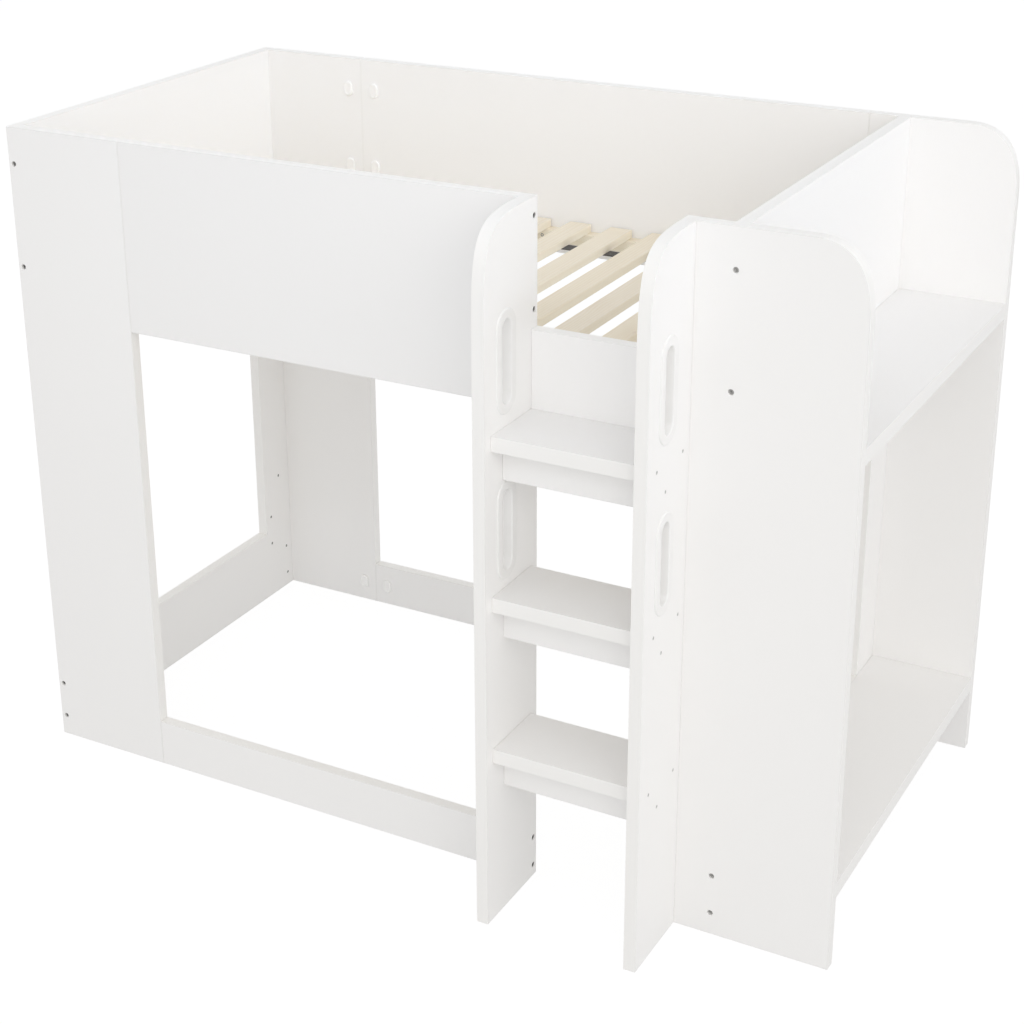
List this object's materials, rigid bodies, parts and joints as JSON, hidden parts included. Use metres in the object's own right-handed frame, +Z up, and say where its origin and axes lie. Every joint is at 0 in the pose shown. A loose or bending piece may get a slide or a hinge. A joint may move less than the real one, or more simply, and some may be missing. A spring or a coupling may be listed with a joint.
{
  "type": "bunk bed",
  "caption": "Child's high sleeper bunk bed in white laminated board with a front ladder, an open lower space, a shelf bay at one end and a pine slat deck.",
  "frame": {"origin": "middle of the bed's footprint, ladder included, on the floor", "axes": "+Z up, +X along the bed towards the shelf bay, +Y from the ladder side to the back"},
  "size_m": [1.9, 1.145, 1.465],
  "materials": {
    "laminate": "satin",
    "pine": "matte",
    "webbing": "matte",
    "white_plastic": "satin",
    "zinc": "satin"
  },
  "bodies": {
    "root": {"front_left_stile": "laminate", "front_guard_rail": "laminate", "front_bottom_rail": "laminate", "entry_panel": "laminate", "front_right_panel": "laminate", "back_right_panel": "laminate", "left_end_panel": "laminate", "right_end_panel": "laminate", "back_left_stile": "laminate", "back_upper_rail": "laminate", "back_bottom_rail": "laminate", "ladder_left_upright": "laminate", "ladder_right_upright": "laminate", "tread_1": "laminate", "tread_2": "laminate", "tread_3": "laminate", "tread_bearer_1": "laminate", "tread_bearer_2": "laminate", "tread_bearer_3": "laminate", "upper_shelf": "laminate", "lower_shelf": "laminate", "front_slat_ledger": "pine", "back_slat_ledger": "pine", "slat_01": "pine", "slat_02": "pine", "slat_03": "pine", "slat_04": "pine", "slat_05": "pine", "slat_06": "pine", "slat_07": "pine", "slat_08": "pine", "slat_09": "pine", "slat_10": "pine", "slat_11": "pine", "slat_12": "pine", "slat_13": "pine", "slat_14": "pine", "slat_15": "pine", "webbing_strap_front": "webbing", "webbing_strap_back": "webbing", "hand_slot_liner_left_upper": "white_plastic", "hand_slot_liner_left_lower": "white_plastic", "hand_slot_liner_right_upper": "white_plastic", "hand_slot_liner_right_lower": "white_plastic", "cover_cap_upper_stile": "white_plastic", "cover_cap_upper_rail": "white_plastic", "cover_cap_middle_stile": "white_plastic", "cover_cap_middle_rail": "white_plastic", "cover_cap_lower_stile": "white_plastic", "cover_cap_lower_rail": "white_plastic", "left_frame_bolt_1": "zinc", "left_frame_bolt_2": "zinc", "left_frame_bolt_3": "zinc", "left_frame_bolt_4": "zinc", "right_frame_bolt_1": "zinc", "right_frame_bolt_2": "zinc", "right_frame_bolt_3": "zinc", "right_frame_bolt_4": "zinc"}
  },
  "joints": []
}
